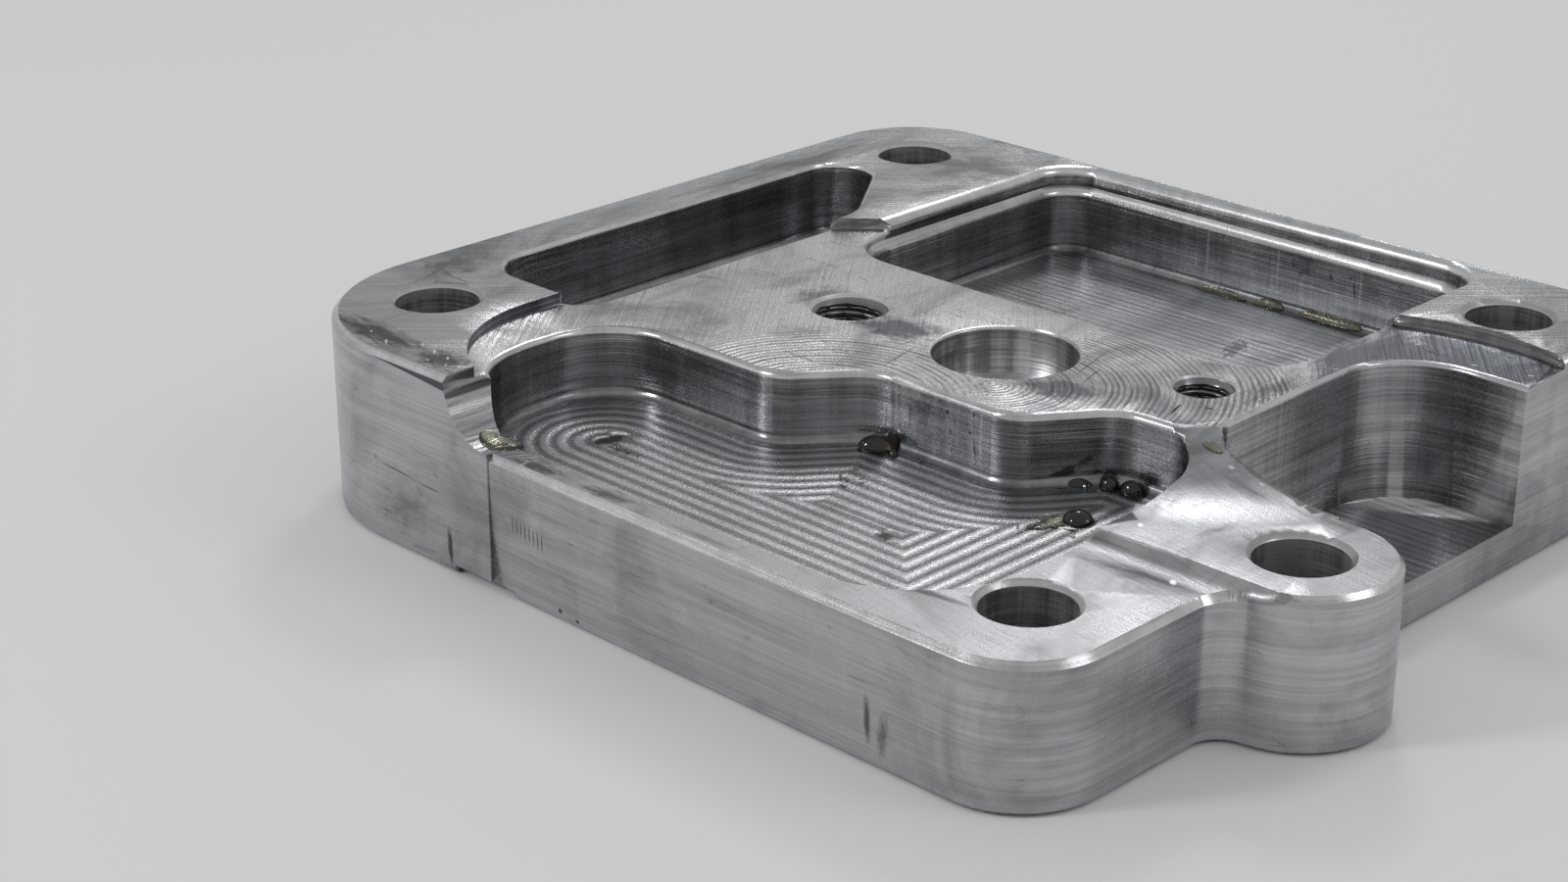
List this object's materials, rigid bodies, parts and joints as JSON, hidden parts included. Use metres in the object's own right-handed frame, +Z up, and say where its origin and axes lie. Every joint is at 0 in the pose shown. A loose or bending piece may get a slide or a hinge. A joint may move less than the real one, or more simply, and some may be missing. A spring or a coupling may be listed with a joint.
{
  "type": "machined pocket plate",
  "caption": "Machined aluminium plate with raised corner bosses, three blind pockets, an open notch, a bolting ear and a counterbored centre bore.",
  "frame": {"origin": "axis of the front left bolt hole, on the base plane", "axes": "+Z up out of the base, +X along the long front face towards the low shelf, +Y towards the back face"},
  "size_m": [0.118, 0.102, 0.0212],
  "materials": {
    "aluminium": "as machined, with visible cutter marks and traces of coolant"
  },
  "bodies": {
    "root": {"plate": "aluminium"}
  },
  "joints": []
}
